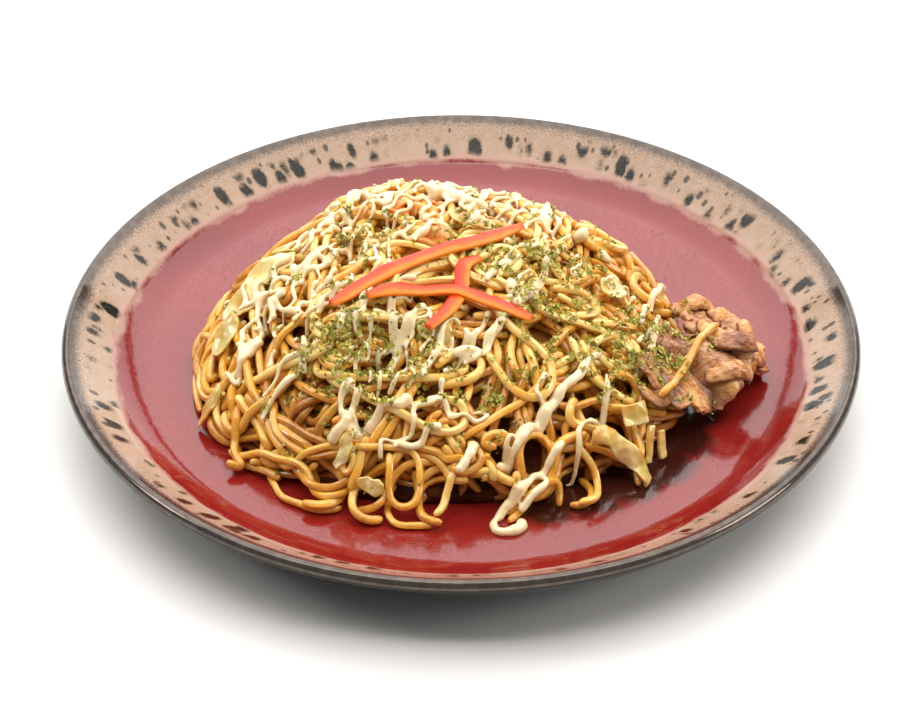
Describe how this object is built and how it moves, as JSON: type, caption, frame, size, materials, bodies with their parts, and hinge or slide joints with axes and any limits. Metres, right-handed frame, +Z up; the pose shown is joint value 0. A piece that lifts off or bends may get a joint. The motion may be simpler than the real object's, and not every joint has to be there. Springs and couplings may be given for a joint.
{
  "type": "plate of fried noodles",
  "caption": "Heap of fried wheat noodles with pork, cabbage, carrot and red pepper strips on a round stoneware plate.",
  "frame": {"origin": "middle of the plate's foot, on the plane that the plate stands on", "axes": "+Z up out of the plate; the diner sits on the -Y side; +X towards the pork"},
  "size_m": [0.26, 0.26, 0.0606],
  "materials": {
    "stoneware": "glossy deep red glaze, cream rim band with dark spots, gunmetal edge",
    "noodles": "cooked wheat noodle coated in brown sauce, moist sheen",
    "pork": "fried pork in sauce, fibrous, moist",
    "pepper": "soft cooked red pepper, moist and slightly translucent",
    "carrot": "cooked carrot, moist",
    "cabbage": "cooked cabbage, moist and slightly translucent",
    "mayonnaise": "thin threads of mayonnaise, soft gloss",
    "laver": "dry green laver flakes",
    "sauce": "dark brown sauce, wet"
  },
  "bodies": {
    "root": {"plate": "stoneware", "noodle_heap": "noodles", "pork_slice_front": "pork", "pork_slice_rear": "pork", "pepper_strip_long": "pepper", "pepper_strip_hooked": "pepper", "pepper_strip_curved": "pepper", "carrot_slice_top": "carrot", "carrot_slice_back": "carrot", "cabbage_leaf_front": "cabbage", "cabbage_frill_front": "cabbage", "cabbage_strip_right": "cabbage", "cabbage_square_right": "cabbage", "cabbage_stick_right_1": "cabbage", "cabbage_stick_right_2": "cabbage", "cabbage_piece_back": "cabbage", "cabbage_piece_right": "cabbage"}
  },
  "joints": []
}
